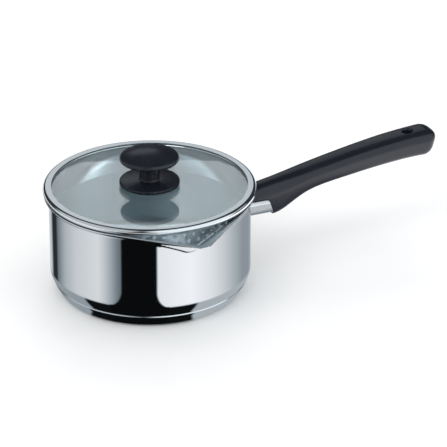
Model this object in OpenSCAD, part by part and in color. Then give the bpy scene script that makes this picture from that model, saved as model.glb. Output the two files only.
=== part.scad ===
// Saucepan with a pouring lip and a glass straining lid, in millimetres.
// Origin: centre of the underside of the base. +X runs along the handle, +Z is up,
// and the pouring lip points to -Y.

/* [Pan] */
// Outside diameter of the side wall
pan_d = 161; // [140:1:200]
// Height of the rim above the table
rim_z = 83.3; // [70:0.1:110]
// Thickness of the drawn steel sheet
wall_t = 0.8; // [0.6:0.1:1.2]
// Outside radius of the corner between floor and side wall
corner_r = 14; // [11:0.5:18]
// Radius of the bend that flares the rim outwards
flare_r = 5; // [3:0.5:7]
// Angle through which the rim is flared
flare_a = 77; // [60:1:80]

/* [Pouring lip] */
// Distance that the lip stands out past the side wall
lip_out = 31; // [20:0.5:34]
// Height of the lip, from its lowest point on the wall up to the rim
lip_h = 18; // [14:0.5:26]
// Radius of the lip's nose at its edge, seen from above
nose_r = 8; // [6:0.5:12]
// Width of the flange round the lip's nose
lip_flange = 12; // [6:0.5:16]
// Radius of the lip's root on the wall, seen from above
root_r = 8; // [4:0.5:12]

/* [Base] */
// Thickness of the aluminium disc
core_t = 4.2; // [3:0.1:6]
// Thickness of the steel cap under the disc
cap_t = 0.6; // [0.4:0.1:0.9]
// Height of the cap's edge above the table
cap_h = 9.8; // [8:0.1:11]
// Radius of the cap's lower corner
cap_corner_r = 6; // [4:0.5:7]
// Slope of the cap's side, from level
cap_slope = 63; // [55:1:70]

/* [Lid] */
// Thickness of the glass
glass_t = 4.8; // [3.5:0.1:5]
// Rise of the glass from its edge to its centre
dome_h = 0.8; // [0.5:0.1:3]
// Thickness of the rim band's steel sheet
band_t = 0.4; // [0.3:0.05:0.6]
// How far the band stands out past the pan's rim
band_out = 0.7; // [0.5:0.1:1.5]
// Width of the band over the top of the glass
band_lip = 6.8; // [5:0.1:9]
// Depth of the straining skirt below the pan's rim
skirt_h = 22; // [16:0.5:30]
// Gap between the skirt and the pan's wall
skirt_gap = 0.5; // [0.4:0.1:1]
// Diameter of a straining hole
strain_d = 3.2; // [2:0.1:4.5]
// Distance between straining holes round the skirt
strain_pitch = 8; // [6:0.5:12]
// Number of holes in the upper row
strain_count = 10; // [3:1:13]

/* [Knob] */
// Diameter of the knob's head
knob_d = 47.6; // [36:0.2:56]
// Height of the knob above its base plate
knob_h = 24.2; // [20:0.1:30]
// Diameter of the knob's stem
stem_d = 16; // [13:0.5:20]
// Diameter of the base plate
plate_d = 48; // [36:0.5:56]
// Height of the base plate's edge
plate_edge = 2.9; // [2:0.1:4]

/* [Handle] */
// Length of the grip
grip_len = 167; // [130:1:200]
// Gap between the side wall and the grip
grip_gap = 3.5; // [2:0.5:6]
// Heights of the grip's top line over the rim, as four control heights from root to tip
grip_top = [-13.8, -5.2, 9.6, 10.6]; // [-20:0.1:20]
// Heights of the grip's lower line over the rim, as four control heights from root to tip
grip_low = [-22.9, -27.7, -8.2, -10.8]; // [-30:0.1:10]
// Widths of the grip at root, middle and tip
grip_w = [22, 25, 29]; // [18:0.5:34]
// How far the grip's end leans back from its top to its underside, as a slope
grip_lean = 0.3; // [0:0.05:0.4]
// Depth of the finger guard under the grip's root
guard_h = 16; // [8:0.5:18]
// Length over which the finger guard fades out
guard_len = 23.5; // [15:0.5:35]
// Length of the steel flame guard, from the side wall
ferrule_len = 23.5; // [18:0.5:30]
// Width of the flame guard
ferrule_w = 22; // [18:0.5:24]
// Height of the flame guard
ferrule_h = 13.4; // [12:0.1:16]
// How far the flame guard's end slopes back from its lower edge to its upper edge
ferrule_slant = 4.5; // [0:0.5:6]
// Drop of the flame guard's top below the rim
ferrule_drop = 22.4; // [20:0.1:28]
// Sheet thickness of the flame guard
ferrule_t = 0.8; // [0.6:0.1:1.2]
// Diameter of the hole for hanging
hang_d = 8.5; // [6:0.5:12]
// Distance of the hanging hole from the grip's end
hang_in = 22; // [16:1:35]

/* [Handle fixing] */
// Slope of the bracket's tab, from level
tab_a = 16.7; // [14:0.1:18]
// Length of the tab
tab_len = 59; // [50:1:70]
// Width of the tab
tab_w = 12; // [10:0.5:14]
// Thickness of the tab
tab_t = 3; // [2:0.5:3.5]
// Distance of the screw from the side wall, along the tab
screw_x = 47; // [40:0.5:50]
// Diameter of the handle screw
screw_d = 4; // [3:0.5:5]

/* [Hidden] */
$fn = 96;
fit = 0.2;      // clearance round a piece that is pushed in
thread = 0.05;  // radial clearance of a screw in its tapped hole
eps = 0.01;     // overrun of a cut past the face that it opens
far = 300;      // longer than anything in the model

// Pan
pan_r = pan_d / 2;
floor_z = cap_t + core_t;
flare_z = rim_z - (flare_r + wall_t) * sin(flare_a);
flare_out = flare_r * (1 - cos(flare_a));
rim_r = pan_r + flare_out;
inner_r = pan_r - wall_t;

// Base cap: its edge lies against the rounded corner of the pan
cap_gap = 0.1;
corner_z = floor_z + corner_r;
corner_at_cap = pan_r - corner_r + sqrt(pow(corner_r, 2) - pow(corner_z - cap_h, 2));
cap_edge_r = corner_at_cap + cap_gap + cap_t;
cap_arc_z = cap_corner_r * (1 - cos(cap_slope));
foot_r = cap_edge_r - (cap_h - cap_arc_z) / tan(cap_slope) - cap_corner_r * sin(cap_slope);

// Lid: the band rests just over the rim and grips the edge of the glass
rest_gap = 0.3;
band_z = rim_z + rest_gap;
glass_z = band_z + band_t;
glass_top = glass_z + glass_t;
crown_z = glass_top + dome_h;
band_r = rim_r + band_out;
band_bend = (glass_t + band_t) / 2;
skirt_r = inner_r - skirt_gap;
skirt_bend = 1.2;
glass_edge_gap = 0.3;
glass_r = band_r - band_t - glass_edge_gap;
glass_chamfer = band_bend - glass_edge_gap;
window_r = band_r - band_lip;
grommet_hole_r = 6;

// Knob stack, from the crown of the glass upwards and downwards
seal_t = 0.8;
seal_sink = 0.5;   // how far the upper seal sits in the base plate
seal_r = 10;
seat_r = seal_r + 0.5;
plate_z = crown_z + seal_t - seal_sink;
plate_h = 4.1;
plate_top = plate_z + plate_h;
knob_z = plate_top;
head_t = 9.3;      // thickness of the knob's head where it meets the stem
crown_rise = 6.2;  // height of the head's top above the middle of its edge
insert_r = 3.5;
insert_h = 12;
hole_spare = 0.5;  // length of a blind hole past the piece in it
knob_screw_r = 2.5;
screw_hole_r = knob_screw_r + 0.4;
seal_gap = 0.05;
under_glass = crown_z - glass_t - seal_gap;
lower_seal_t = 1;
washer_t = 1.2;
washer_r = 8.5;
head_r = 4.6;
head_h = 3;
head_z = under_glass - lower_seal_t - washer_t;
driver_w = 1.1;
driver_l = 5.4;
driver_h = 1.8;

// Handle
grip_x = pan_r + grip_gap;
grip_end = grip_x + grip_len;
guard_x = pan_r + ferrule_len;
ferrule_top = rim_z - ferrule_drop;
ferrule_bend = 4;
ferrule_corner = 2;
ferrule_mid = ferrule_top - ferrule_h / 2;
tab_z = ferrule_mid - 3.6;
pad_t = 1.5;
pad_w = ferrule_w - 6;
pad_h = ferrule_h - 3.4;
nut_w = 7;
nut_h = 3.2;
nut_r = nut_w / sqrt(3);
screw_end = 1;  // how far the screw stands out of its nut
screw_head_r = 3.8;
screw_head_h = 2.6;
lock_t = 0.9;
seat_z = -tab_t / 2 - 3.4;
counterbore_r = screw_head_r + 0.5;
grip_round = [2.6, 3.4];
grip_tip = 10;
lean_len = 40;  // length of the grip's end over which its lean sets in
grip_tip_a = 86;

// Points on an arc in the plane of a profile, with n steps
function arc(x, z, r, a0, a1, n = 8) =
    [for (i = [0:n]) [x + r * cos(a0 + (a1 - a0) * i / n), z + r * sin(a0 + (a1 - a0) * i / n)]];

function reversed(points) = [for (i = [len(points) - 1:-1:0]) points[i]];

// Outline of a sheet between the lines of points on its two faces
function sheet(face, back) = concat(face, reversed(back));

// Cubic curve with four control heights
function bezier(c, t) =
    c[0] * pow(1 - t, 3) + 3 * c[1] * pow(1 - t, 2) * t + 3 * c[2] * (1 - t) * pow(t, 2) + c[3] * pow(t, 3);

module turned(outline) {
    rotate_extrude() polygon(outline);
}

module ring(r_out, r_in, z, h) {
    turned([[r_in, z], [r_out, z], [r_out, z + h], [r_in, z + h]]);
}

// ---- Pan -------------------------------------------------------------------------------------

// Half section of the pan: its outside surface shifted inwards by t
function pan_side(t) = concat(
    [[0, floor_z + t]],
    arc(pan_r - corner_r, corner_z, corner_r - t, -90, 0, 10),
    arc(pan_r + flare_r, flare_z, flare_r + t, 180, 180 - flare_a, 10));

// Slice across the pan and its lip at height z, where the flare stands out by g
module lip_slice(z, g, t) {
    nose_out = nose_r - flare_out;
    nose_y = pan_r + lip_out - lip_flange - nose_out + (lip_flange - flare_out) * g / flare_out;
    translate([0, 0, z - eps]) {
        cylinder(r = pan_r + g - t, h = eps);
        translate([0, -nose_y, 0]) cylinder(r = nose_out + g - t, h = eps, $fn = 32);
    }
}

// Solid that the pouring lip is drawn from, made smaller all round by t: a channel that rises
// from the wall to the start of the flare, then the flare carried on round it in two steps
module lip_solid(t) {
    bend_a = flare_a * 0.6;
    bend_z = flare_z + flare_r * sin(bend_a);
    bend_out = flare_r * (1 - cos(bend_a));
    hull() {
        translate([0, root_r - pan_r, rim_z - lip_h]) cylinder(r = root_r - t, h = eps, $fn = 32);
        lip_slice(flare_z, 0, t);
    }
    hull() {
        lip_slice(flare_z, 0, t);
        lip_slice(bend_z, bend_out, t);
    }
    hull() {
        lip_slice(bend_z, bend_out, t);
        lip_slice(rim_z + (t > 0 ? eps : 0), flare_out, t);
    }
}

module pan_body() {
    color("silver")
    difference() {
        union() {
            turned(sheet(pan_side(0), pan_side(wall_t)));
            difference() {
                lip_solid(0);
                translate([0, 0, floor_z]) cylinder(r = inner_r + wall_t / 2, h = rim_z);
            }
        }
        lip_solid(wall_t);
    }
}

module base_core() {
    core_r = foot_r - 0.5;
    chamfer = 1.5;
    color("lightgray")
    turned([[0, cap_t], [core_r, cap_t], [core_r + chamfer, cap_t + chamfer],
            [core_r + chamfer, floor_z], [0, floor_z]]);
}

// Half section of the cap: its underside shifted inwards by t
function cap_side(t) = concat(
    [[0, t]],
    arc(foot_r, cap_corner_r, cap_corner_r - t, -90, cap_slope - 90, 6),
    [[cap_edge_r - t * sin(cap_slope), cap_h + t * cos(cap_slope)]]);

module base_cap() {
    color("gainsboro")
    turned(sheet(cap_side(0), cap_side(cap_t)));
}

// ---- Handle ----------------------------------------------------------------------------------

// Places children in the frame of the bracket's tab: x along it, z square to it
module on_tab() {
    translate([pan_r, 0, tab_z]) rotate([0, -tab_a, 0]) children();
}

module handle_bracket() {
    color("silver")
    difference() {
        union() {
            intersection() {
                ring(pan_r + pad_t, pan_r, ferrule_mid - pad_h / 2, pad_h);
                translate([0, -pad_w / 2, 0]) cube([far, pad_w, far]);
            }
            on_tab() translate([pad_t / 2, -tab_w / 2, -tab_t / 2]) cube([tab_len, tab_w, tab_t]);
        }
        on_tab() translate([screw_x, 0, -tab_t]) cylinder(d = screw_d + fit, h = 2 * tab_t);
    }
}

module handle_nut() {
    color("gray")
    on_tab() translate([screw_x, 0, tab_t / 2])
    difference() {
        cylinder(r = nut_r, h = nut_h, $fn = 6);
        translate([0, 0, -eps]) cylinder(r = screw_d / 2, h = nut_h + 2 * eps);
    }
}

// Side view of the flame guard, grown by g: its end slopes back and meets its top in a round corner
module ferrule_side(g) {
    slope = atan(ferrule_slant / ferrule_h);
    foot_x = guard_x + g / cos(slope) + tan(slope) * (ferrule_top - ferrule_h);
    r = ferrule_corner + g;
    z = ferrule_top - ferrule_corner;
    x = foot_x - tan(slope) * z - r / cos(slope);
    rotate([90, 0, 0])
    linear_extrude(far, center = true)
    polygon(concat([[0, 0], [foot_x, 0]], arc(x, z, r, slope, 90, 6), [[0, ferrule_top + g]]));
}

// Rounded bar along X with the flame guard's cross-section, made smaller all round by t
module ferrule_bar(t) {
    y = ferrule_w / 2 - ferrule_bend;
    z = ferrule_h / 2 - ferrule_bend;
    r = ferrule_bend - t;
    translate([0, 0, ferrule_mid])
    rotate([90, 0, 90])
    linear_extrude(far)
    polygon(concat(arc(y, z, r, 0, 90, 6), arc(-y, z, r, 90, 180, 6),
                   arc(-y, -z, r, 180, 270, 6), arc(y, -z, r, 270, 360, 6)));
}

module flame_guard() {
    color("gainsboro")
    difference() {
        intersection() {
            ferrule_bar(0);
            ferrule_side(0);
        }
        ferrule_bar(ferrule_t);
        cylinder(r = pan_r, h = far);
    }
}

// Height of the grip's lower line at a distance x from the pan's axis
function grip_low_z(x) =
    let (guard = guard_h * exp(-pow(max(x - guard_x, 0) / guard_len, 2)))
    rim_z + bezier(grip_low, (x - grip_x) / grip_len) - guard;

function grip_top_z(x) = rim_z + bezier(grip_top, (x - grip_x) / grip_len);

function grip_width(x) =
    let (t = (x - grip_x) / grip_len)
    t < 0.5 ? grip_w[0] + (grip_w[1] - grip_w[0]) * 2 * t : grip_w[1] + (grip_w[2] - grip_w[1]) * (2 * t - 1);

// Squareness of the grip's cross-section: 2 would be an ellipse
function grip_power(x) = grip_round[0] + (grip_round[1] - grip_round[0]) * (x - grip_x) / grip_len;

function power(v, e) = sign(v) * pow(abs(v), e);

// Cross-section of the grip at x, drawn in by scale s towards its centre line
function grip_section(x, s, n) =
    let (top = grip_top_z(x), low = grip_low_z(x), e = 2 / grip_power(x),
         lean = grip_lean * max(0, 1 - (grip_end - x) / lean_len))
    [for (i = [0:n - 1]) let (z = (top - low) / 2 * s * power(sin(360 * i / n), e))
        [x + lean * z, grip_width(x) / 2 * s * power(cos(360 * i / n), e), (top + low) / 2 + z]];

module grip_solid() {
    n = 28;
    straight = 24;
    round_steps = 6;
    stations = concat(
        [for (i = [0:straight - 1]) [grip_x + (grip_len - grip_tip) * i / straight, 1]],
        [for (i = [0:round_steps]) let (a = grip_tip_a * i / round_steps)
            [grip_end - grip_tip + grip_tip * sin(a) / sin(grip_tip_a), pow(cos(a), 0.6)]]);
    m = len(stations);
    points = [for (s = stations) each grip_section(s[0], s[1], n)];
    sides = [for (j = [0:m - 2], i = [0:n - 1])
        let (a = j * n + i, b = j * n + (i + 1) % n) each [[a, b, b + n], [a, b + n, a + n]]];
    polyhedron(points, concat([[for (i = [n - 1:-1:0]) i]], sides, [[for (i = [0:n - 1]) (m - 1) * n + i]]));
}

module handle_grip() {
    hang_x = grip_end - hang_in;
    color([0.09, 0.09, 0.1])
    difference() {
        grip_solid();
        ferrule_side(fit);
        translate([hang_x, 0, 0]) cylinder(d = hang_d, h = far);
        on_tab() {
            translate([0, -tab_w / 2 - fit, -tab_t / 2 - fit])
                cube([tab_len + 1, tab_w + 2 * fit, tab_t + 2 * fit]);
            translate([0, -nut_r - fit, 0])
                cube([screw_x + nut_r + fit, 2 * (nut_r + fit), tab_t / 2 + nut_h + screw_end + 1]);
            translate([screw_x, 0, -far]) cylinder(d = screw_d + 2 * fit, h = far);
            translate([screw_x, 0, seat_z - far]) cylinder(r = counterbore_r, h = far);
        }
    }
}

module handle_washer() {
    color("silver")
    on_tab() translate([screw_x, 0, 0]) ring(screw_head_r, screw_d / 2 + fit / 2, seat_z - lock_t, lock_t);
}

module handle_screw() {
    color("gray")
    on_tab() translate([screw_x, 0, 0])
    difference() {
        union() {
            translate([0, 0, seat_z - lock_t])
                cylinder(r = screw_d / 2 - thread, h = tab_t / 2 + nut_h + screw_end - seat_z + lock_t);
            translate([0, 0, seat_z - lock_t - screw_head_h]) cylinder(r = screw_head_r, h = screw_head_h);
        }
        translate([0, 0, seat_z - lock_t - screw_head_h]) driver_recess(0.8);
    }
}

// Cross recess for a screwdriver, opening downwards at z = 0, scaled by k
module driver_recess(k) {
    for (a = [0, 90])
        rotate([0, 0, a])
        translate([-driver_l * k / 2, -driver_w * k / 2, -eps])
        cube([driver_l * k, driver_w * k, driver_h * k]);
}

// ---- Lid -------------------------------------------------------------------------------------

// Half section of one face of the glass: flat under the knob, then a shallow dome to the window's edge
function glass_face(z) =
    let (run = window_r - 1 - seat_r, r = (pow(run, 2) + pow(dome_h, 2)) / (2 * dome_h), a = asin(run / r))
    concat([[0, z + dome_h]], arc(seat_r, z + dome_h - r, r, 90, 90 - a, 8));

module lid_glass() {
    color([0.75, 0.85, 0.88, 0.5])
    difference() {
        turned(concat(
            glass_face(glass_top),
            [[glass_r - glass_chamfer, glass_top], [glass_r, glass_top - glass_chamfer],
             [glass_r, glass_z + glass_chamfer], [glass_r - glass_chamfer, glass_z]],
            reversed(glass_face(glass_z))));
        cylinder(r = grommet_hole_r, h = far);
    }
}

// Half section of the band, at distance t outside the middle of its sheet
function band_side(t) =
    let (low = glass_z - band_t / 2, skirt = skirt_r - band_t / 2)
    concat(
        [[window_r, glass_top + band_t / 2 + t]],
        arc(band_r - band_t / 2 - band_bend, low + band_bend, band_bend + t, 90, -90, 12),
        arc(skirt + skirt_bend, low - skirt_bend, skirt_bend - t, 90, 180, 5),
        [[skirt + t, rim_z - skirt_h]]);

module lid_band() {
    top_row = band_z - skirt_bend - 0.8 * strain_d;
    row_step = 1.7 * strain_d;
    step = strain_pitch / skirt_r * 180 / PI;
    cut_depth = 6;
    color("gainsboro")
    difference() {
        turned(sheet(band_side(band_t / 2), band_side(-band_t / 2)));
        for (row = [0, 1], i = [0:strain_count - 1 - row])
            rotate([0, 0, -90 + (i - (strain_count - 1 - row) / 2) * step])
            translate([skirt_r - cut_depth / 2, 0, top_row - row_step * row])
            rotate([0, 90, 0])
            cylinder(d = strain_d, h = cut_depth, $fn = 24);
    }
}

// ---- Knob ------------------------------------------------------------------------------------

module knob_plate() {
    r = plate_d / 2;
    bend = 1;
    color([0.1, 0.1, 0.11])
    turned(concat(
        [[screw_hole_r, plate_z + seal_sink], [seal_r + fit, plate_z + seal_sink], [seal_r + fit, plate_z]],
        arc(r - bend, plate_z + bend, bend, -90, 0, 4),
        arc(r - bend, plate_z + plate_edge - bend, bend, 0, 75, 4),
        [[stem_d / 2 + 1, plate_top], [screw_hole_r, plate_top]]));
}

module knob() {
    r = knob_d / 2;
    stem = stem_d / 2;
    top = knob_z + knob_h;
    neck = 3.5;
    under = top - head_t;
    edge = 2.4;
    edge_z = top - crown_rise;
    crown_r = (pow(r - edge, 2) + pow(crown_rise, 2) - pow(edge, 2)) / (2 * (crown_rise - edge));
    crown_a = 90 - asin((r - edge) / (crown_r - edge));
    color([0.09, 0.09, 0.1])
    turned(concat(
        [[insert_r, knob_z], [stem + 0.6, knob_z], [stem, knob_z + 1.2]],
        arc(stem + neck, under - neck, neck, 180, 90, 6),
        arc(r - edge, edge_z, edge, -75, crown_a, 8),
        [for (a = [crown_a + 5:5:89]) [crown_r * cos(a), top - crown_r * (1 - sin(a))]],
        [[0, top], [0, knob_z + insert_h], [insert_r, knob_z + insert_h]]));
}

module knob_insert() {
    color("goldenrod")
    ring(insert_r, knob_screw_r, knob_z, insert_h - hole_spare);
}

module knob_seal_upper() {
    color("darkgray")
    union() {
        ring(seal_r, screw_hole_r, crown_z, seal_t);
        ring(grommet_hole_r - fit, screw_hole_r, under_glass, glass_t + seal_gap);
    }
}

module knob_seal_lower() {
    color("darkgray")
    ring(washer_r + 0.5, screw_hole_r, under_glass - lower_seal_t, lower_seal_t);
}

module knob_washer() {
    color("silver")
    ring(washer_r, screw_hole_r, head_z, washer_t);
}

module knob_screw() {
    color("gray")
    difference() {
        union() {
            translate([0, 0, head_z])
                cylinder(r = knob_screw_r - thread, h = knob_z + insert_h - 4 * hole_spare - head_z);
            translate([0, 0, head_z - head_h]) cylinder(r = head_r, h = head_h);
        }
        translate([0, 0, head_z - head_h]) driver_recess(1);
    }
}

pan_body();
base_core();
base_cap();
handle_bracket();
handle_nut();
flame_guard();
handle_grip();
handle_washer();
handle_screw();
lid_glass();
lid_band();
knob_plate();
knob();
knob_insert();
knob_seal_upper();
knob_seal_lower();
knob_washer();
knob_screw();
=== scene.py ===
import math

import bmesh
import bpy
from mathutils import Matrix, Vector

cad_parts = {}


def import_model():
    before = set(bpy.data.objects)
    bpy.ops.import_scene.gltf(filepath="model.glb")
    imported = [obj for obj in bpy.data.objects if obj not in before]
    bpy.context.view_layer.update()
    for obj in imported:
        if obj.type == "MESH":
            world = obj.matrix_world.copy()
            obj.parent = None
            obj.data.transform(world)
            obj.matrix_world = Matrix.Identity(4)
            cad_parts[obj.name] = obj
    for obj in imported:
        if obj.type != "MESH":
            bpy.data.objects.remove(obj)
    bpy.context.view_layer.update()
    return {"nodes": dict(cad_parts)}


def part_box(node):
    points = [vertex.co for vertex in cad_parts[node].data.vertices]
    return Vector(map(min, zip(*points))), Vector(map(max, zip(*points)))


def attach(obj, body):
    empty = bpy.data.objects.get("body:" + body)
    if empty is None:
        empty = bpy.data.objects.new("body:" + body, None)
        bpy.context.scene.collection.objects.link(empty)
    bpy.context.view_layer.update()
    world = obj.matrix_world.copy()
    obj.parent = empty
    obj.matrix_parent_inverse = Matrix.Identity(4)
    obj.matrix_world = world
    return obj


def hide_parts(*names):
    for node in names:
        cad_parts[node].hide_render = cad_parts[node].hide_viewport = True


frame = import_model()
MM = 0.001

# ---- Driving dimensions, in metres, read from the frame where it has them ------------------------

body_low, body_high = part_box("pan_body")
cap_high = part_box("base_cap")[1]
core_low, core_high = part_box("base_core")
glass_low, glass_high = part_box("lid_glass")
band_low, band_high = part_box("lid_band")
knob_low, knob_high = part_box("knob")
plate_low, plate_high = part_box("knob_plate")
grip_low, grip_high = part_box("handle_grip")
guard_low, guard_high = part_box("flame_guard")

WALL = 0.8 * MM
RIM_Z = body_high.z
RIM_R = body_high.y
FLARE_R = 5 * MM            # the rim's flare: radius and angle
FLARE_A = math.radians(77)
FLARE_OUT = FLARE_R * (1 - math.cos(FLARE_A))
PAN_R = RIM_R - FLARE_OUT
FLARE_Z = RIM_Z - (FLARE_R + WALL) * math.sin(FLARE_A)
CORNER_R = 14 * MM          # between wall and floor, outside
FLOOR_Z = core_high.z
LIP_Z = RIM_Z - 18 * MM     # the lowest point of the pouring lip
LIP_TIP = -body_low.y
NOSE_R = 8 * MM             # the lip's radius in plan, at its tip and at its root
ROOT_R = 8 * MM
LIP_FLANGE = 12 * MM        # how far the rim's flare carries the lip's tip outward
LIP_BLEND = 0.8 * MM        # how softly the lip's lower end runs into the wall,
LIP_NEAR = 6 * MM           # and how near to the wall it does so
SCREW_HOLE_R = 2.9 * MM     # the knob screw's hole through plate, lower seal and washer

# Steps round a turned piece
AROUND = 288
AROUND_LIP = 96             # the pan's further steps, as its steps crowd together at the lip
AROUND_LID = 360
AROUND_KNOB = 240
AROUND_WASHER = 128
AROUND_SCREW = 64
AROUND_BORE = 48


# ---- Mesh helpers --------------------------------------------------------------------------------

def arc(x, z, r, a0, a1, n=8):
    """Points on an arc in the plane of a profile, angles in degrees."""
    turn = [math.radians(a0 + (a1 - a0) * i / n) for i in range(n + 1)]
    return [(x + r * math.cos(a), z + r * math.sin(a)) for a in turn]


def rounded(corners, n=5):
    """A closed outline of (x, z, radius) corners with each corner rounded to its radius."""
    out = []
    for i, (x, z, r) in enumerate(corners):
        p = Vector((x, z))
        before = Vector(corners[i - 1][:2]) - p
        after = Vector(corners[(i + 1) % len(corners)][:2]) - p
        if r <= 0 or before.length < 1e-7 or after.length < 1e-7:
            out.append((x, z))
            continue
        half = before.angle(after) / 2
        reach = min(r / math.tan(half), before.length * 0.49, after.length * 0.49)
        a = p + before.normalized() * reach
        b = p + after.normalized() * reach
        for k in range(n + 1):
            t = k / n
            q = a * (1 - t) ** 2 + p * 2 * t * (1 - t) + b * t ** 2
            out.append((q.x, q.y))
    return out


def evenly(start, end, n):
    """n places from start up to, but not at, end."""
    return [start + (end - start) * i / n for i in range(n)]


def make(name, verts, faces, sharp=40):
    """An object of that name with a mesh, smooth but for edges steeper than sharp degrees."""
    mesh = bpy.data.meshes.new(name)
    mesh.from_pydata(verts, [], faces)
    piece = bpy.data.objects.new(name, mesh)
    bpy.context.scene.collection.objects.link(piece)
    tidy_mesh(piece, sharp)
    return piece


def tidy_mesh(piece, sharp=40):
    """Merges double points, turns the faces outward and sets the shading."""
    bm = bmesh.new()
    bm.from_mesh(piece.data)
    bmesh.ops.remove_doubles(bm, verts=bm.verts, dist=1e-6)
    bmesh.ops.recalc_face_normals(bm, faces=bm.faces)
    bm.to_mesh(piece.data)
    bm.free()
    piece.data.shade_smooth()
    piece.data.set_sharp_from_angle(angle=math.radians(sharp))


def turned(name, outline, steps=AROUND, sharp=40):
    """A solid turned about Z from a closed outline of (r, z) points."""
    n = len(outline)
    verts = []
    for j in range(steps):
        c, s = math.cos(2 * math.pi * j / steps), math.sin(2 * math.pi * j / steps)
        verts += [(r * c, r * s, z) for r, z in outline]
    faces = []
    for j in range(steps):
        a, b = j * n, (j + 1) % steps * n
        for i in range(n):
            k = (i + 1) % n
            if outline[i][0] > 1e-9 or outline[k][0] > 1e-9:
                faces.append((a + i, b + i, b + k, a + k))
    return make(name, verts, faces, sharp)


def cut(piece, cutter, sharp=40):
    """Takes the cutter's volume out of the piece and removes the cutter."""
    mod = piece.modifiers.new("cut", "BOOLEAN")
    mod.object = cutter
    mod.operation = "DIFFERENCE"
    mod.solver = "EXACT"
    bpy.context.view_layer.update()
    depsgraph = bpy.context.evaluated_depsgraph_get()
    mesh = bpy.data.meshes.new_from_object(piece.evaluated_get(depsgraph))
    piece.modifiers.clear()
    old = piece.data
    piece.data = mesh
    bpy.data.meshes.remove(old)
    bpy.data.objects.remove(cutter)
    piece.data.name = piece.name
    tidy_mesh(piece, sharp)


def wear(piece, body, node, slot, *materials):
    """Gives a piece its materials and what it moves with, and hides the CAD part it stands in for."""
    piece.data.materials.clear()
    for m in materials:
        piece.data.materials.append(m)
    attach(piece, body)
    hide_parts(node)
    return piece


# ---- Materials -----------------------------------------------------------------------------------

class Nodes:
    """A short way to write a material's node tree."""

    def __init__(self, name):
        self.material = bpy.data.materials.new(name)
        self.material.use_nodes = True
        self.tree = self.material.node_tree
        self.shader = self.tree.nodes["Principled BSDF"]
        self.out = self.tree.nodes["Material Output"]

    def add(self, kind, inputs=None, **settings):
        node = self.tree.nodes.new(kind)
        for key, value in settings.items():
            setattr(node, key, value)
        for key, value in (inputs or {}).items():
            self.put(node.inputs[key], value)
        return node

    def put(self, socket, value):
        if isinstance(value, bpy.types.NodeSocket):
            self.tree.links.new(value, socket)
        else:
            socket.default_value = value

    def set(self, **values):
        for key, value in values.items():
            self.put(self.shader.inputs[key.replace("_", " ")], value)

    def noise(self, scale, detail=3.0, stretch=None, rough=0.5):
        place = self.add("ShaderNodeTexCoord").outputs["Object"]
        if stretch:
            place = self.add("ShaderNodeMapping", {"Vector": place, "Scale": stretch}).outputs[0]
        return self.add("ShaderNodeTexNoise", {"Vector": place, "Scale": scale, "Detail": detail,
                                               "Roughness": rough}).outputs["Fac"]

    def span(self, value, low, high, from_low=0.3, from_high=0.7):
        return self.add("ShaderNodeMapRange", {"Value": value, "From Min": from_low, "From Max": from_high,
                                               "To Min": low, "To Max": high}).outputs["Result"]

    def blend(self, factor, a, b):
        node = self.add("ShaderNodeMix", {"Factor": factor}, data_type="RGBA")
        self.put(node.inputs[6], a)
        self.put(node.inputs[7], b)
        return node.outputs[2]

    def bump(self, height, distance, strength=1.0):
        return self.add("ShaderNodeBump", {"Height": height, "Distance": distance,
                                           "Strength": strength}).outputs["Normal"]

    def rings(self, scale):
        """Fine lines round the pan's axis, as a polishing wheel leaves them."""
        place = self.add("ShaderNodeTexCoord").outputs["Object"]
        split = self.add("ShaderNodeSeparateXYZ", {"Vector": place}).outputs
        flat = self.add("ShaderNodeCombineXYZ", {"X": split["X"], "Y": split["Y"]}).outputs[0]
        radius = self.add("ShaderNodeVectorMath", {0: flat}, operation="LENGTH").outputs["Value"]
        line = self.add("ShaderNodeCombineXYZ", {"X": radius, "Z": split["Z"]}).outputs[0]
        return self.add("ShaderNodeTexNoise", {"Vector": line, "Scale": scale, "Detail": 4.0}).outputs["Fac"]


def polished_steel():
    n = Nodes("polished_steel")
    smear = n.noise(28, 4)
    n.set(Metallic=1.0, Base_Color=n.blend(smear, (0.88, 0.895, 0.91, 1), (0.93, 0.94, 0.95, 1)),
          Roughness=n.span(smear, 0.03, 0.06), Normal=n.bump(n.rings(1500), 0.000002, 0.4))
    return n.material


def satin_steel():
    n = Nodes("satin_steel")
    lines = n.rings(2500)
    n.set(Metallic=1.0, Base_Color=n.blend(lines, (0.66, 0.73, 0.77, 1), (0.73, 0.79, 0.83, 1)),
          Roughness=n.span(lines, 0.34, 0.44), Normal=n.bump(lines, 0.000002, 0.3))
    return n.material


def brushed_steel():
    n = Nodes("brushed_steel")
    lines = n.noise(300, 4, stretch=(0.15, 6, 6))
    n.set(Metallic=1.0, Base_Color=n.blend(lines, (0.60, 0.61, 0.64, 1), (0.74, 0.75, 0.77, 1)),
          Roughness=n.span(lines, 0.18, 0.32), Normal=n.bump(lines, 0.000008, 0.6))
    return n.material


def plated_steel():
    n = Nodes("plated_steel")
    spots = n.noise(900, 3)
    n.set(Metallic=1.0, Base_Color=n.blend(spots, (0.48, 0.49, 0.50, 1), (0.66, 0.66, 0.64, 1)),
          Roughness=n.span(spots, 0.28, 0.42))
    return n.material


def aluminium():
    n = Nodes("aluminium")
    grain = n.noise(1200, 3)
    n.set(Metallic=1.0, Base_Color=n.blend(grain, (0.62, 0.63, 0.65, 1), (0.74, 0.75, 0.76, 1)),
          Roughness=n.span(grain, 0.35, 0.5))
    return n.material


def phenolic():
    n = Nodes("phenolic")
    cloud = n.noise(60, 4)
    grain = n.noise(1800, 2)
    n.set(Base_Color=n.blend(cloud, (0.008, 0.009, 0.014, 1), (0.015, 0.017, 0.026, 1)),
          Roughness=n.span(cloud, 0.22, 0.30), Normal=n.bump(grain, 0.00003, 0.2), IOR=1.5)
    return n.material


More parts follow.
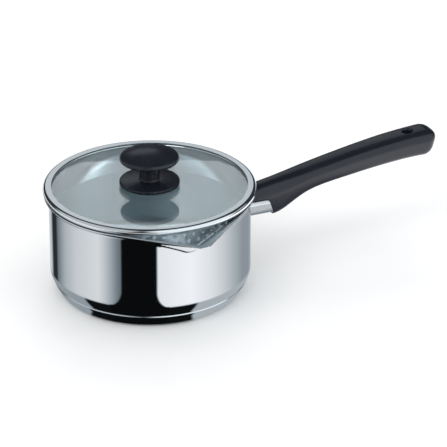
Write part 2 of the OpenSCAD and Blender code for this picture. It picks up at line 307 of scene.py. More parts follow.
def clear_glass():
    n = Nodes("lid_glass")
    n.set(Base_Color=(0.90, 0.96, 0.965, 1), Transmission_Weight=1.0, IOR=1.5,
          Roughness=n.span(n.noise(40, 3), 0.0, 0.012))
    return n.material


def silicone():
    n = Nodes("silicone")
    grain = n.noise(1500, 2)
    n.set(Base_Color=n.blend(grain, (0.10, 0.105, 0.11, 1), (0.14, 0.145, 0.15, 1)),
          Roughness=n.span(grain, 0.5, 0.62))
    return n.material


def brass():
    n = Nodes("brass")
    lines = n.rings(3000)
    n.set(Metallic=1.0, Base_Color=n.blend(lines, (0.66, 0.47, 0.20, 1), (0.80, 0.62, 0.32, 1)),
          Roughness=n.span(lines, 0.25, 0.4))
    return n.material


MIRROR = polished_steel()
SATIN = satin_steel()
BRUSHED = brushed_steel()
PLATED = plated_steel()
ALUMINIUM = aluminium()
BLACK = phenolic()
GLASS = clear_glass()
RUBBER = silicone()
BRASS = brass()


# ---- Pan -----------------------------------------------------------------------------------------

def circle_exit(distance, radius, turn):
    """Where a ray from the axis, turned away from -Y, leaves a circle centred at distance along -Y."""
    inside = radius ** 2 - (distance * math.sin(turn)) ** 2
    return distance * math.cos(turn) + math.sqrt(inside) if inside > 0 else 0.0


def lip_radius(turn, z, grow, flare):
    """Distance from the axis to the pouring lip's surface, or 0 where it has none.

    grow is how far the surface lies outside the side wall, and flare how far the flare has opened,
    from 0 to 1."""
    f = min(1.0, (z - LIP_Z) / (FLARE_Z - LIP_Z))
    if f <= 0:
        return 0.0
    root = (PAN_R - ROOT_R) * (1 - f)
    nose_r = NOSE_R - FLARE_OUT
    nose_y = LIP_TIP - LIP_FLANGE - nose_r + (LIP_FLANGE - FLARE_OUT) * flare
    d1, r1 = root, ROOT_R * (1 - f) + PAN_R * f + grow
    d2, r2 = root + nose_y * f, ROOT_R * (1 - f) + nose_r * f + grow
    best = max(circle_exit(d1, r1, turn), circle_exit(d2, r2, turn))
    slope = (r1 - r2) / (d2 - d1)
    if slope < 1:
        normal = math.acos(slope)
        near = math.atan2(r1 * math.sin(normal), d1 + r1 * math.cos(normal))
        far = math.atan2(r2 * math.sin(normal), d2 + r2 * math.cos(normal))
        if far <= abs(turn) <= near:
            best = max(best, (d1 * slope + r1) / math.cos(abs(turn) - normal))
    return best


def soft_max(a, b, k):
    """The larger of a and b, rounded off where they differ by less than k."""
    if k <= 0:
        return max(a, b)
    h = min(1.0, max(0.0, 0.5 + 0.5 * (a - b) / k))
    return b * (1 - h) + a * h + k * h * (1 - h)


def pan_side(t):
    """Half section of the pan's surface at depth t under its outside, from the floor up to the rim."""
    corner = arc(PAN_R - CORNER_R, FLOOR_Z + CORNER_R, CORNER_R - t, -90, 0, 16)
    wall_low = corner[-1][1]
    wall = [(PAN_R - t, wall_low + (FLARE_Z - wall_low) * i / 60) for i in range(1, 60)]
    flare = arc(PAN_R + FLARE_R, FLARE_Z, FLARE_R + t, 180, 180 - math.degrees(FLARE_A), 30)
    floor = [((PAN_R - CORNER_R) * i / 12, FLOOR_Z + t) for i in range(12)]
    return floor + corner + wall + flare


def pan_rim():
    """The rounded edge of the sheet between its outside and inside."""
    out, inside = pan_side(0)[-1], pan_side(WALL)[-1]
    middle = Vector(((out[0] + inside[0]) / 2, (out[1] + inside[1]) / 2))
    side = Vector((out[0], out[1])) - middle
    along = Vector((math.sin(FLARE_A), math.cos(FLARE_A)))
    points = []
    for i in range(1, 6):
        a = math.pi * i / 6
        p = middle + side * math.cos(a) + along * (side.length * math.sin(a) - side.length)
        points.append((p.x, min(p.y, RIM_Z)))
    return points


def pan_turns():
    """Angles round the pan from the lip, in radians, closer together the nearer they are to it."""
    crowding = 1.6
    even = evenly(-180, 180, AROUND + AROUND_LIP)
    return [math.radians(math.copysign(180 * (abs(t) / 180) ** crowding, t)) for t in even]


def pan_body():
    """The pan's sheet, polished outside and satin inside."""
    profile = pan_side(0) + pan_rim() + pan_side(WALL)[::-1]
    out_count = len(pan_side(0))
    rim_middle = out_count + 2
    turns = pan_turns()
    n, m = len(profile), len(turns)
    verts = []
    for turn in turns:
        for i, (r, z) in enumerate(profile):
            t = 0 if i < out_count else WALL
            flare = min(1.0, max(0.0, (r - PAN_R + t) / (FLARE_OUT + t * (1 - math.cos(FLARE_A)))))
            lip = lip_radius(turn, z, r - PAN_R, flare) if z > LIP_Z else 0.0
            f = (z - LIP_Z) / (FLARE_Z - LIP_Z)
            soft = LIP_BLEND * (1 - f) if 0 < f < 1 and lip > r - LIP_NEAR else 0
            reach = min(soft_max(r, lip, soft), LIP_TIP)
            verts.append((reach * math.sin(turn), -reach * math.cos(turn), z))
    faces, inside = [], []
    for j in range(m):
        a, b = j * n, (j + 1) % m * n
        for i in range(n - 1):
            faces.append((a + i, b + i, b + i + 1, a + i + 1))
            inside.append(i > rim_middle)
    mesh = bpy.data.meshes.new("pan_shell")
    mesh.from_pydata(verts, [], faces)
    mesh.polygons.foreach_set("material_index", [int(v) for v in inside])
    piece = bpy.data.objects.new("pan_shell", mesh)
    bpy.context.scene.collection.objects.link(piece)
    mesh.materials.append(MIRROR)
    mesh.materials.append(SATIN)
    tidy_mesh(piece, 50)
    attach(piece, "pan")
    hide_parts("pan_body")
    return piece


def base_cap():
    """The steel cap under the base: a flat foot, a rounded corner and a flared edge."""
    t = core_low.z
    slope = math.radians(63)
    bend = 6 * MM
    edge_r = cap_high.x
    edge_z = cap_high.z - t * math.cos(slope)
    rise = bend * (1 - math.cos(slope))
    foot = edge_r - (edge_z - rise) / math.tan(slope) - bend * math.sin(slope)
    side = arc(foot, bend, bend, -90, math.degrees(slope) - 90, 16)
    back = arc(foot, bend, bend - t, -90, math.degrees(slope) - 90, 16)[::-1]
    lip = [(edge_r - 0.03 * MM, edge_z - 0.1 * MM), (edge_r - 0.1 * MM, edge_z + 0.1 * MM),
           (edge_r - t * math.sin(slope), cap_high.z)]
    return turned("base_shell", [(0, 0)] + side + lip + back + [(0, t)], sharp=50)


# ---- Handle --------------------------------------------------------------------------------------

GRIP_X = grip_low.x
GRIP_LEN = 167 * MM
GRIP_END = GRIP_X + GRIP_LEN
GRIP_LEAN = 0.3         # slope at which the grip's end leans back
LEAN_LEN = 40 * MM      # over this length
# Bezier heights of the grip's upper and lower edge over the rim, and its widths at root, middle and tip
GRIP_TOP = [v * MM for v in (-13.8, -5.2, 9.6, 10.6)]
GRIP_LOW = [v * MM for v in (-22.9, -27.7, -8.2, -10.8)]
GRIP_W = [v * MM for v in (22, 25, 29)]
GRIP_ROUND = (2.6, 3.4)  # squareness of the cross-section at root and tip, where 2 is an ellipse
GUARD_H = 16 * MM       # the finger guard under the grip: how deep, and how fast it runs out
GUARD_LEN = 23.5 * MM
GUARD_X = guard_high.x
TIP = 10 * MM           # length of the tip's rounding, and the angle at which it ends
TIP_A = math.radians(88)
NOTCH_GAP = 0.2 * MM    # between the grip and the flame guard under it
FERRULE_TOP = guard_high.z
FERRULE_LOW = guard_low.z
FERRULE_MIDDLE = (FERRULE_TOP + FERRULE_LOW) / 2
FERRULE_BEND = 4 * MM
FERRULE_CORNER = 2 * MM
FERRULE_SLANT = 4.5 * MM  # how much farther the sleeve reaches at its lower edge than at its upper
FERRULE_SLOPE = math.atan2(FERRULE_SLANT, FERRULE_TOP - FERRULE_LOW)
HANG_X = GRIP_END - 22 * MM
HANG_R = 4.25 * MM
TAB_A = math.radians(16.7)
TAB_Z = FERRULE_MIDDLE - 3.6 * MM
SCREW_ALONG = 47 * MM   # from the pan's wall along the tab
SCREW = Vector((PAN_R + SCREW_ALONG * math.cos(TAB_A), 0, TAB_Z + SCREW_ALONG * math.sin(TAB_A)))
SEAT_Z = -1.5 * MM - 3.4 * MM  # where the screw's washer sits, under the middle of the tab
LOCK_T = 0.9 * MM


def bezier(c, t):
    """A cubic Bezier curve's height at t, from its four control heights."""
    return (c[0] * (1 - t) ** 3 + 3 * c[1] * (1 - t) ** 2 * t + 3 * c[2] * (1 - t) * t ** 2 + c[3] * t ** 3)


def grip_heights(x):
    """Heights of the grip's lower and upper edge at x."""
    t = (x - GRIP_X) / GRIP_LEN
    guard = GUARD_H * math.exp(-(max(x - GUARD_X, 0) / GUARD_LEN) ** 2)
    return RIM_Z + bezier(GRIP_LOW, t) - guard, RIM_Z + bezier(GRIP_TOP, t)


def grip_width(x):
    """The grip's width at x, in two straight stretches."""
    t = (x - GRIP_X) / GRIP_LEN
    a, b, c = GRIP_W
    return a + (b - a) * 2 * t if t < 0.5 else b + (c - b) * (2 * t - 1)


def signed_power(v, e):
    return math.copysign(abs(v) ** e, v)


def grip_ring(x, scale, n):
    """n points round the grip's cross-section at x, a rounded square that leans back near the tip."""
    low, top = grip_heights(x)
    e = 2 / (GRIP_ROUND[0] + (GRIP_ROUND[1] - GRIP_ROUND[0]) * (x - GRIP_X) / GRIP_LEN)
    lean = GRIP_LEAN * max(0, 1 - (GRIP_END - x) / LEAN_LEN)
    ring = []
    for i in range(n):
        a = 2 * math.pi * (i + 0.5) / n
        y = grip_width(x) / 2 * scale * signed_power(math.cos(a), e)
        z = (top - low) / 2 * scale * signed_power(math.sin(a), e)
        ring.append((min(x + lean * z, grip_high.x), y, (top + low) / 2 + z))
    return ring


def skinned(name, rings, sharp=40):
    """A closed skin over a row of rings with the same number of points."""
    n = len(rings[0])
    verts = [p for ring in rings for p in ring]
    faces = [tuple(range(n))[::-1], tuple(range((len(rings) - 1) * n, len(rings) * n))]
    for j in range(len(rings) - 1):
        for i in range(n):
            k = (i + 1) % n
            faces.append((j * n + i, j * n + k, (j + 1) * n + k, (j + 1) * n + i))
    return make(name, verts, faces, sharp)


def sleeve_end(z, gap):
    """How far along X the flame guard reaches at height z, grown by gap."""
    foot = GUARD_X + gap / math.cos(FERRULE_SLOPE) + math.tan(FERRULE_SLOPE) * (FERRULE_LOW - z)
    r = FERRULE_CORNER + gap
    middle = FERRULE_TOP - FERRULE_CORNER
    if z <= middle + r * math.sin(FERRULE_SLOPE):
        return foot
    x = GUARD_X + gap / math.cos(FERRULE_SLOPE) + math.tan(FERRULE_SLOPE) * (FERRULE_LOW - middle)
    return x - r / math.cos(FERRULE_SLOPE) + math.sqrt(max(r ** 2 - (z - middle) ** 2, 0))


def notch_z(x):
    """Height of the underside of the grip at x, where it lies over the flame guard."""
    low, high = 0.0, FERRULE_TOP + NOTCH_GAP
    if x <= sleeve_end(high, NOTCH_GAP):
        return high
    for _ in range(30):
        middle = (low + high) / 2
        low, high = (middle, high) if sleeve_end(middle, NOTCH_GAP) > x else (low, middle)
    return low


def grip_stations():
    """Places along the grip, each with the scale of its cross-section: both ends are rounded off."""
    edge = 1.2 * MM
    notch_start = sleeve_end(FERRULE_TOP + NOTCH_GAP, NOTCH_GAP) - NOTCH_GAP
    notch_end = notch_start + 9.5 * MM
    stations = []
    for a in evenly(0, math.pi / 2, 5):
        stations.append((GRIP_X + edge * (1 - math.cos(a)), 1 - edge * (1 - math.sin(a)) / (GRIP_W[0] / 2)))
    for x in (evenly(GRIP_X + edge, notch_start, 14) + evenly(notch_start, notch_end, 48)
              + evenly(notch_end, GRIP_END - TIP, 90)):
        stations.append((x, 1))
    for a in evenly(0, TIP_A, 16) + [TIP_A]:
        stations.append((GRIP_END - TIP + TIP * math.sin(a) / math.sin(TIP_A), math.cos(a) ** 0.6))
    return stations


def grip():
    """The black grip: a lofted body with a notch for the flame guard, a hanging hole and a screw hole."""
    points, notch_blend = 120, 0.8 * MM
    rings = []
    for x, scale in grip_stations():
        low = notch_z(x)
        ring = grip_ring(x, scale, points)
        rings.append([(px, py, soft_max(pz, low, notch_blend)) for px, py, pz in ring])
    piece = skinned("grip", rings, sharp=50)
    low, top = grip_heights(HANG_X)
    cut(piece, hole_cutter(HANG_X, low, top), sharp=50)
    depth, seat = -40 * MM, -5.2 * MM
    bore = turned("bore", [(0, depth), (4.6 * MM, depth), (4.3 * MM, seat), (0, seat)], AROUND_BORE)
    bore.rotation_euler = (0, -TAB_A, 0)
    bore.location = SCREW
    cut(piece, bore, sharp=50)
    return piece


def hole_cutter(x, low, top):
    """A hole up through the grip with a small rounded edge at each end."""
    edge = 1.1 * MM
    over = 3 * MM
    wide = HANG_R + edge
    outline = [(0, low - over), (wide + over, low - over)]
    outline += arc(wide, low + edge, edge, -90, -180, 6)
    outline += arc(wide, top - edge, edge, 180, 90, 6)
    outline += [(wide + over, top + over), (0, top + over)]
    piece = turned("hole", outline, AROUND_SCREW)
    piece.location = (x, 0, 0)
    return piece


def rounded_bar(shrink, n=9):
    """Cross-section (y, z) of the flame guard, shrunk on all sides, with points on its flats too."""
    spacing = 0.8 * MM
    y = (guard_high.y - guard_low.y) / 2 - FERRULE_BEND
    z = (FERRULE_TOP - FERRULE_LOW) / 2 - FERRULE_BEND
    r = FERRULE_BEND - shrink
    ring = []
    for sy, sz, a in ((1, 1, 0), (-1, 1, 90), (-1, -1, 180), (1, -1, 270)):
        ring += [(py, FERRULE_MIDDLE + pz) for py, pz in arc(sy * y, sz * z, r, a, a + 90, n)]
    filled = []
    for i, p in enumerate(ring):
        q = ring[(i + 1) % len(ring)]
        parts = max(1, round(math.dist(p, q) / spacing))
        for k in range(parts):
            filled.append((p[0] + (q[0] - p[0]) * k / parts, p[1] + (q[1] - p[1]) * k / parts))
    return filled


def flame_guard():
    """A steel sleeve that starts on the round wall and ends in the grip, its upper end rounded off."""
    sheet = 0.8 * MM
    gap = 0.02 * MM
    steps = 40
    outer, inner = rounded_bar(0), rounded_bar(sheet)
    inner = [min(inner, key=lambda q: math.dist(p, q)) for p in outer]
    rings = []
    for section in (outer, inner):
        grid = []
        for i in range(steps + 1):
            ring = []
            for y, z in section:
                x0 = math.sqrt(PAN_R ** 2 - y ** 2) + gap
                x1 = sleeve_end(z, 0)
                ring.append((x0 + (x1 - x0) * i / steps, y, z))
            grid.append(ring)
        rings.append(grid)
    loop = rings[0] + rings[1][::-1]
    n = len(outer)
    verts = [p for ring in loop for p in ring]
    faces = []
    for j in range(len(loop)):
        a, b = j * n, (j + 1) % len(loop) * n
        for i in range(n):
            k = (i + 1) % n
            faces.append((a + i, a + k, b + k, b + i))
    return make("flame_guard_sleeve", verts, faces, 50)


def screw(name, shaft_r, head_r, head_h, length, recess, slot_w=1.1 * MM):
    """A pan-head screw: its head below z = 0, its shaft above, with thread ridges and a cross recess."""
    pitch, point = 0.8 * MM, 0.6 * MM
    flat, edge = 0.55, 0.35  # shares of the head's radius that is flat and of its height that is straight
    outline = [(0, -head_h)]
    for k in range(9):
        a = math.pi / 2 * k / 8
        r = head_r * (flat + (1 - flat) * math.sin(a))
        outline.append((r, -head_h * (edge + (1 - edge) * math.cos(a))))
    outline += [(head_r, 0), (shaft_r, 0)]
    turns = int(length * 0.75 / pitch)
    z = length - turns * pitch - point
    outline.append((shaft_r, z))
    for i in range(turns):
        outline += [(shaft_r * 0.86, z + pitch * (i + 0.5)), (shaft_r, z + pitch * (i + 1))]
    outline += [(shaft_r * 0.75, length), (0, length)]
    piece = turned(name, outline, AROUND_SCREW, sharp=50)
    for turn in (0, math.pi / 2):
        cut(piece, slot_cutter(recess / 2, slot_w / 2, -head_h, head_h * 0.62, turn), sharp=40)
    return piece


def slot_cutter(along, across, low, depth, turn):
    """A slot of a screw's cross recess, shorter at its inner end, turned about Z."""
    cosine, sine = math.cos(turn), math.sin(turn)
    points = []
    for z, k in ((low - 0.2 * MM, 1.0), (low + depth, 0.55)):
        for x, y in ((-along * k, -across), (along * k, -across), (along * k, across), (-along * k, across)):
            points.append((x * cosine - y * sine, x * sine + y * cosine, z))
    sides = [(0, 1, 5, 4), (1, 2, 6, 5), (2, 3, 7, 6), (3, 0, 4, 7)]
    return make("recess", points, [(0, 1, 2, 3), (4, 5, 6, 7)] + sides)


def place(piece, move, tilt=0.0):
    """Turns a piece about Y and moves it, in its mesh."""
    cosine, sine = math.cos(tilt), math.sin(tilt)
    for v in piece.data.vertices:
        x, y, z = v.co
        v.co = (x * cosine - z * sine + move[0], y + move[1], x * sine + z * cosine + move[2])
    return piece


def handle_screw():
    """The screw that holds the grip, from below and square to the tab."""
    low = SEAT_Z - LOCK_T
    piece = screw("handle_fixing_screw", 1.95 * MM, 3.8 * MM, 2.6 * MM, 11.5 * MM, 4.3 * MM, 0.9 * MM)
    return place(piece, SCREW + Vector((-low * math.sin(TAB_A), 0, low * math.cos(TAB_A))), TAB_A)


# ---- Lid -----------------------------------------------------------------------------------------

BAND_R = band_high.x
BAND_T = 0.4 * MM
WINDOW_R = BAND_R - 6.8 * MM
SKIRT_R = PAN_R - WALL - 0.5 * MM
SKIRT_BEND = 1.2 * MM
GLASS_TOP = band_high.z - BAND_T
CROWN = glass_high.z
GLASS_T = GLASS_TOP - glass_low.z
BAND_BEND = (GLASS_T + BAND_T) / 2
STRAIN_R = 1.6 * MM     # the strainer holes: radius, spacing, and number in the upper of two rows
STRAIN_PITCH = 8 * MM
STRAIN_COUNT = 10
SKIRT_SPLIT = 8 * MM    # how far below its bend the skirt's faces are divided
TURN_GAP = 0.03 * MM    # between the knob's washer and the seal that turns on it


def glass_face(z):
    """Half section of one face of the glass: flat under the knob, then a shallow dome."""
    rise = CROWN - GLASS_TOP
    hole, seat = 6 * MM, 10.5 * MM
    run = WINDOW_R - 1 * MM - seat
    r = (run ** 2 + rise ** 2) / (2 * rise)
    a = math.degrees(math.asin(run / r))
    return [(hole, z + rise)] + arc(seat, z + rise - r, r, 90, 90 - a, 24)


def glass_pane():
    """The domed glass with its hole, its edge rounded to fit inside the band."""
    low = glass_low.z
    r = BAND_BEND - 0.5 * MM
    middle = glass_high.x - r
    bend = arc(middle, GLASS_TOP - r, r, 90, 0, 6) + arc(middle, low + r, r, 0, -90, 6)
    outline = glass_face(GLASS_TOP) + bend + glass_face(low)[::-1]
    return turned("glass_pane", outline, AROUND_LID, sharp=60)


def band_side(t):
    """Half section of the band at distance t outside the middle of its sheet."""
    low = glass_low.z - BAND_T / 2
    skirt = SKIRT_R - BAND_T / 2
    return ([(WINDOW_R, GLASS_TOP + BAND_T / 2 + t)]
            + arc(BAND_R - BAND_T / 2 - BAND_BEND, low + BAND_BEND, BAND_BEND + t, 90, -90, 32)
            + arc(skirt + SKIRT_BEND, low - SKIRT_BEND, SKIRT_BEND - t, 90, 180, 10)
            + [(skirt + t, low - SKIRT_BEND - SKIRT_SPLIT), (skirt + t, band_low.z)])


def strainer_cutter():
    """Short rods through the skirt above the lip, in two rows with the lower one set between the upper."""
    top_row = glass_low.z - BAND_T - SKIRT_BEND - 1.6 * STRAIN_R
    step = STRAIN_PITCH / SKIRT_R
    past = 3 * MM
    sides = 28
    verts, faces = [], []
    for row in (0, 1):
        count = STRAIN_COUNT - row
        z = top_row - 3.4 * STRAIN_R * row
        for i in range(count):
            turn = (i - (count - 1) / 2) * step
            out = Vector((math.sin(turn), -math.cos(turn), 0))
            side = Vector((math.cos(turn), math.sin(turn), 0))
            base = len(verts)
            for reach in (SKIRT_R - past, SKIRT_R + past):
                for k in range(sides):
                    a = 2 * math.pi * k / sides
                    up = Vector((0, 0, z + STRAIN_R * math.sin(a)))
                    verts.append(out * reach + side * STRAIN_R * math.cos(a) + up)
            faces.append(tuple(range(base, base + sides))[::-1])
            faces.append(tuple(range(base + sides, base + 2 * sides)))
            for k in range(sides):
                m = (k + 1) % sides
                faces.append((base + k, base + m, base + sides + m, base + sides + k))
    return make("strainer_holes", verts, faces)


def lid_band():
    """The steel band rolled round the glass, with its skirt and the strainer holes."""
    half = BAND_T / 2
    tip = [(WINDOW_R - 0.1 * MM, GLASS_TOP + half)]
    piece = turned("rim_band", band_side(half) + band_side(-half)[::-1] + tip, AROUND_LID, sharp=60)
    cut(piece, strainer_cutter(), sharp=60)
    return piece


# ---- Knob ----------------------------------------------------------------------------------------

STEM_R = 8 * MM


def knob_plate():
    """The knob's base plate, with a shallow recess under it for the seal."""
    r = plate_high.x
    low, top = plate_low.z, plate_high.z
    edge, edge_h = 0.9 * MM, 2.1 * MM
    recess_r, recess = 10.2 * MM, 0.5 * MM
    outline = [(SCREW_HOLE_R, low + recess), (recess_r, low + recess), (recess_r, low)]
    outline += arc(r - edge, low + edge, edge, -90, 0, 8)
    outline += arc(r - edge, low + edge_h, edge, 0, 78, 8)
    outline += [(STEM_R + 3 * MM, top - 0.25 * MM), (STEM_R + 1 * MM, top - 0.02 * MM), (SCREW_HOLE_R, top)]
    return turned("knob_collar", outline, AROUND_KNOB, sharp=50)


def knob():
    """Head and stem in one, with a blind hole for the brass insert."""
    r = knob_high.x
    low, top = knob_low.z, knob_high.z
    neck, edge = 3.5 * MM, 2.4 * MM
    hole, hole_z = 3.5 * MM, low + 12 * MM
    foot, foot_h = 0.6 * MM, 1.2 * MM
    under = top - 9.3 * MM
    edge_z = top - 6.2 * MM
    rise = top - edge_z
    crown_r = ((r - edge) ** 2 + rise ** 2 - edge ** 2) / (2 * (rise - edge))
    crown_a = 90 - math.degrees(math.asin((r - edge) / (crown_r - edge)))
    outline = [(hole, low), (STEM_R + foot, low), (STEM_R + 0.1 * MM, low + foot), (STEM_R, low + foot_h)]
    outline += arc(STEM_R + neck, under - neck, neck, 180, 90, 12)
    outline += arc(r - edge, edge_z, edge, -75, crown_a, 16)
    outline += arc(0, top - crown_r, crown_r, crown_a, 90, 20)
    outline += [(0, hole_z), (hole, hole_z)]
    return turned("knob_head", outline, AROUND_KNOB, sharp=50)


def washer(name, r_out, r_in, low, high, soft=0.15 * MM):
    """A flat ring with softened edges."""
    corners = [(r_in, low, soft), (r_out, low, soft), (r_out, high, soft), (r_in, high, soft)]
    return turned(name, rounded(corners, 4), AROUND_WASHER, sharp=60)


def knob_screw():
    """The screw that holds the knob, from below through the washer."""
    low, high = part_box("knob_screw")
    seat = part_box("knob_washer")[0].z
    piece = screw("knob_fixing_screw", 2.45 * MM, 4.6 * MM, seat - low.z, high.z - seat, 5.4 * MM)
    return place(piece, (0, 0, seat))


# ---- Stage: camera, floor and light --------------------------------------------------------------

VIEW_TURN = math.radians(24)     # the camera's angle round the pan from the front, and down from level
VIEW_DOWN = math.radians(26.09)
VIEW_DISTANCE = 2.421
VIEW_ASIDE = 0.0587              # the point it looks at: how far to the right of the axis, and how high
VIEW_UP = 0.0539
LENS = 243.8


def camera():
    """The photograph's camera: a long lens from in front and above."""
    right = Vector((math.cos(VIEW_TURN), -math.sin(VIEW_TURN), 0))
    away = Vector((math.sin(VIEW_TURN), math.cos(VIEW_TURN), 0))
    forward = away * math.cos(VIEW_DOWN) - Vector((0, 0, math.sin(VIEW_DOWN)))
    data = bpy.data.cameras.new("camera")
    data.lens = LENS
    data.sensor_width = 36
    data.clip_end = 50
    cam = bpy.data.objects.new("camera", data)
    bpy.context.scene.collection.objects.link(cam)
    cam.location = right * VIEW_ASIDE + Vector((0, 0, VIEW_UP)) - forward * VIEW_DISTANCE
    cam.rotation_euler = forward.to_track_quat("-Z", "Y").to_euler()
    bpy.context.scene.camera = cam


def floor():
    """A pale floor."""
    half = 8.0
    corners = [(-half, -half, 0), (half, -half, 0), (half, half, 0), (-half, half, 0)]
    stage = make("floor", corners, [(0, 1, 2, 3)])
    n = Nodes("pale_floor")
    n.set(Base_Color=(0.93, 0.93, 0.93, 1), Roughness=0.7, Specular_IOR_Level=0.2)
    stage.data.materials.append(n.material)


def between(table, x):
    """Straight-line interpolation in a list of (x, value) pairs."""
    if x <= table[0][0]:
        return table[0][1]
    for (x0, v0), (x1, v1) in zip(table, table[1:]):
        if x <= x1:
            return v0 + (v1 - v0) * (x - x0) / (x1 - x0)
    return table[-1][1]


def step(low, high, x):
    """A soft step from 0 at low to 1 at high."""
    t = min(1.0, max(0.0, (x - low) / (high - low)))
    return t * t * (3 - 2 * t)


# Brightness of the lit cards round the pan, by the angle from the camera of the wall that mirrors them
CARD_LIGHT = [(-180, 0.07), (-134, 0.07), (-124, 0.60), (-90, 0.66), (-78, 0.64), (-75, 0.34),
              (-73, 0.03), (-67, 0.03), (-65, 0.20), (-56, 0.50), (-46, 0.66), (-30, 0.76), (-25, 0.58),
              (-19, 0.28), (-17, 0.2), (5, 0.86), (24, 0.98), (36, 0.84), (46, 0.68), (56, 0.50),
              (66, 0.34), (76, 0.33), (84, 0.45), (100, 0.62), (124, 0.66), (134, 0.07), (180, 0.07)]
BLACK_CARD = (-15.5, 4.2)   # the black card in front, in the same degrees
BLACK_SHADE = 0.004
FOOT_SHADOW = (-38, 27)       # painted shadow: the wider black span under it, next to the wall, standing in for the shade round the pan's foot, which the foot mirrors
FOOT_SHADE = 0.006
FOOT_HALF_SHADE = (0.36, 0.48)   # dimmed brightness beside that one, on the left and on the right: painted shade near the pan's foot
CARD_EDGE = 37 * MM         # where the lit cards begin, from the wall
CARD_CORNER = (7, 26 * MM)  # how far the lit cards' lower corners are rounded, in degrees and in distance
GRIP_CARD = 1.0             # extra brightness farther out on the right, for the side of the grip
FAN = 85                    # past these degrees the cards no longer lie where the wall mirrors them


def card_shade(degrees, d):
    """Brightness of the cards at a distance d from the wall, where the wall at that angle mirrors it."""
    panel = between(CARD_LIGHT, degrees)
    # Nearer than the card edge the cards are dimmed, and black across the foot span: painted shadow round
    # the pan's foot, as its steel mirrors it
    foot = FOOT_HALF_SHADE[0] if degrees < 0 else FOOT_HALF_SHADE[1]
    near = min(1.0, max(0.0, (CARD_EDGE + CARD_CORNER[1] - d) / CARD_CORNER[1]))
    corner = CARD_CORNER[0] * (1 - math.sqrt(1 - near ** 2))
    black = step(BLACK_CARD[0] - 1.2 - corner, BLACK_CARD[0] + 0.3 - corner, degrees)
    black *= 1 - step(BLACK_CARD[1] - 0.3 + corner, BLACK_CARD[1] + 1.2 + corner, degrees)
    wide = step(FOOT_SHADOW[0] - 3, FOOT_SHADOW[0], degrees)
    wide *= 1 - step(FOOT_SHADOW[1], FOOT_SHADOW[1] + 3, degrees)
    foot = foot * (1 - wide) + FOOT_SHADE * wide
    low = step(CARD_EDGE - 5 * MM, CARD_EDGE + 2 * MM, d)
    value = panel * low + foot * (1 - low)
    beside = step(24, 36, degrees) * (1 - step(80, 95, degrees)) * step(165 * MM, 190 * MM, d)
    return value * (1 - black) + BLACK_SHADE * black + GRIP_CARD * beside


def cards():
    """Lit and black cards lying round the pan, which only its polished steel sees; next to the wall they are
    dimmed and blackened as a painted shadow round the pan's foot.
    """
    reach = [-12, -6, -2] + list(range(0, 30, 4)) + list(range(30, 66)) + [80, 110, 150, 200, 280, 400]
    degrees = evenly(-180, -60, 240) + evenly(-60, 60, 480) + evenly(60, 180, 240) + [180]
    verts, shades = [], []
    for a in degrees:
        beyond = max(abs(a) - FAN, 0)
        turn = math.radians(a)
        behind = math.copysign(2 * FAN + beyond * (180 - 2 * FAN) / (180 - FAN), a)
        go = math.radians(behind if beyond else 2 * a)
        for mm in reach:
            far = 12 if beyond > 40 and mm == reach[-1] else 1
            d = mm * MM * far
            start = PAN_R + min(d, 0)
            x = start * math.sin(turn) + max(d, 0) * math.sin(go)
            y = start * math.cos(turn) + max(d, 0) * math.cos(go)
            verts.append((x * math.cos(VIEW_TURN) - y * math.sin(VIEW_TURN),
                          -x * math.sin(VIEW_TURN) - y * math.cos(VIEW_TURN), 0.3 * MM))
            shades.append(card_shade(a, d))
    n = len(reach)
    faces = [(j * n + i, j * n + i + 1, (j + 1) * n + i + 1, (j + 1) * n + i)
             for j in range(len(degrees) - 1) for i in range(n - 1)]
    mesh = bpy.data.meshes.new("cards")
    mesh.from_pydata(verts, [], faces)
    layer = mesh.attributes.new("shade", "FLOAT", "POINT")
    layer.data.foreach_set("value", shades)
    stage = bpy.data.objects.new("cards", mesh)
    bpy.context.scene.collection.objects.link(stage)
    n = Nodes("card_light")
    shade = n.add("ShaderNodeAttribute", attribute_name="shade").outputs["Fac"]
    tint = n.blend(n.span(shade, 0.0, 1.0, 0.15, 0.8), (0.74, 0.90, 1.0, 1), (0.96, 0.975, 1.0, 1))
    light = n.add("ShaderNodeEmission", {"Color": tint, "Strength": shade})
    n.tree.links.new(light.outputs[0], n.out.inputs["Surface"])
    n.material.cycles.emission_sampling = "NONE"
    mesh.materials.append(n.material)
    glossy_only(stage)


def glossy_only(stage):
    """Hides a stage object from all but reflections."""
    stage.visible_camera = False
    stage.visible_diffuse = False
    stage.visible_shadow = False
    stage.visible_transmission = False
    stage.visible_volume_scatter = False


def softbox(name, at, target, size, power):
    """A square light that reflections don't see."""
    data = bpy.data.lights.new(name, "AREA")
    data.shape = "SQUARE"
    data.size = size
    data.energy = power
    lamp = bpy.data.objects.new(name, data)
    bpy.context.scene.collection.objects.link(lamp)
    lamp.location = at
    lamp.rotation_euler = (Vector(target) - Vector(at)).to_track_quat("-Z", "Y").to_euler()
    lamp.visible_glossy = False


# Round lights hung about the studio, as the steel, glass and phenolic see them: the direction of each
# from the pan (degrees from straight away from the camera, degrees up), its half-angle and its strength
LAMPS = [(-6, 26, 9, 0.62), (125, 32, 44, 1.0), (-112, 32, 42, 0.55), (62, 24, 9, 0.5)]
DARK_STUDIO = (0.03, 0.034, 0.04, 1)


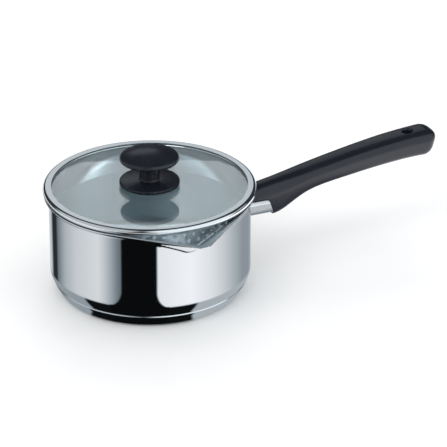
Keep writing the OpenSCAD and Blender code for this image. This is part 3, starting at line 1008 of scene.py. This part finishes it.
def world():
    """White all round for the eye and for soft light; reflections see a dark studio with round lights."""
    w = bpy.data.worlds.new("studio")
    bpy.context.scene.world = w
    w.use_nodes = True
    tree = w.node_tree
    link = tree.links.new
    place = tree.nodes.new("ShaderNodeTexCoord").outputs["Generated"]
    path = tree.nodes.new("ShaderNodeLightPath").outputs
    seen = tree.nodes.new("ShaderNodeMix")
    seen.data_type = "RGBA"
    colour = None
    for away, up, half, strength in LAMPS:
        turn = VIEW_TURN + math.radians(away)
        rise = math.radians(up)
        toward = tree.nodes.new("ShaderNodeVectorMath")
        toward.operation = "DOT_PRODUCT"
        link(place, toward.inputs[0])
        toward.inputs[1].default_value = (math.sin(turn) * math.cos(rise), math.cos(turn) * math.cos(rise),
                                          math.sin(rise))
        disc = tree.nodes.new("ShaderNodeMapRange")
        disc.interpolation_type = "SMOOTHSTEP"
        link(toward.outputs["Value"], disc.inputs["Value"])
        disc.inputs["From Min"].default_value = math.cos(math.radians(half * 1.2))
        disc.inputs["From Max"].default_value = math.cos(math.radians(half * 0.85))
        lit = tree.nodes.new("ShaderNodeMix")
        lit.data_type = "RGBA"
        link(disc.outputs["Result"], lit.inputs["Factor"])
        if colour is None:
            lit.inputs[6].default_value = DARK_STUDIO
        else:
            link(colour, lit.inputs[6])
        lit.inputs[7].default_value = (strength * 0.86, strength * 0.95, strength, 1)
        colour = lit.outputs[2]
    plain = tree.nodes.new("ShaderNodeMath")
    plain.operation = "MAXIMUM"
    link(path["Is Camera Ray"], plain.inputs[0])
    link(path["Is Diffuse Ray"], plain.inputs[1])
    link(plain.outputs[0], seen.inputs["Factor"])
    link(colour, seen.inputs[6])
    seen.inputs[7].default_value = (1, 1, 1, 1)
    back = tree.nodes["Background"]
    link(seen.outputs[2], back.inputs["Color"])
    back.inputs["Strength"].default_value = 1.0


bpy.context.scene.view_settings.view_transform = "Standard"
camera()
floor()
cards()
world()
softbox("key", (-0.9, -0.7, 1.5), (0, 0, 0.05), 0.9, 7)
softbox("back", (0.6, 1.4, 1.2), (0, 0, 0.08), 0.9, 5)

# ---- Build ---------------------------------------------------------------------------------------

# Hidden pieces keep their CAD shape and only get a material
for node, material in (("base_core", ALUMINIUM), ("handle_bracket", BRUSHED), ("handle_nut", PLATED),
                       ("handle_washer", PLATED), ("knob_insert", BRASS), ("knob_seal_upper", RUBBER)):
    mesh = frame["nodes"][node].data
    mesh.materials.clear()
    mesh.materials.append(material)

pan_body()
wear(base_cap(), "pan", "base_cap", "polished_steel", MIRROR)
wear(flame_guard(), "pan", "flame_guard", "satin_steel", BRUSHED)
wear(grip(), "pan", "handle_grip", "phenolic", BLACK)
wear(handle_screw(), "pan", "handle_screw", "zinc_steel", PLATED)
wear(glass_pane(), "lid", "lid_glass", "lid_glass", GLASS)
wear(lid_band(), "lid", "lid_band", "polished_steel", MIRROR)
wear(knob_plate(), "lid", "knob_plate", "phenolic", BLACK)
wear(knob(), "lid", "knob", "phenolic", BLACK)
wear(knob_screw(), "lid", "knob_screw", "zinc_steel", PLATED)
for node, body, slot, material, lift in (("knob_washer", "lid_hub", "zinc_steel", PLATED, 0),
                                         ("knob_seal_lower", "lid", "silicone", RUBBER, TURN_GAP)):
    low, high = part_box(node)
    wear(washer(node + "_ring", high.x, SCREW_HOLE_R, low.z + lift, high.z), body, node, slot, material)
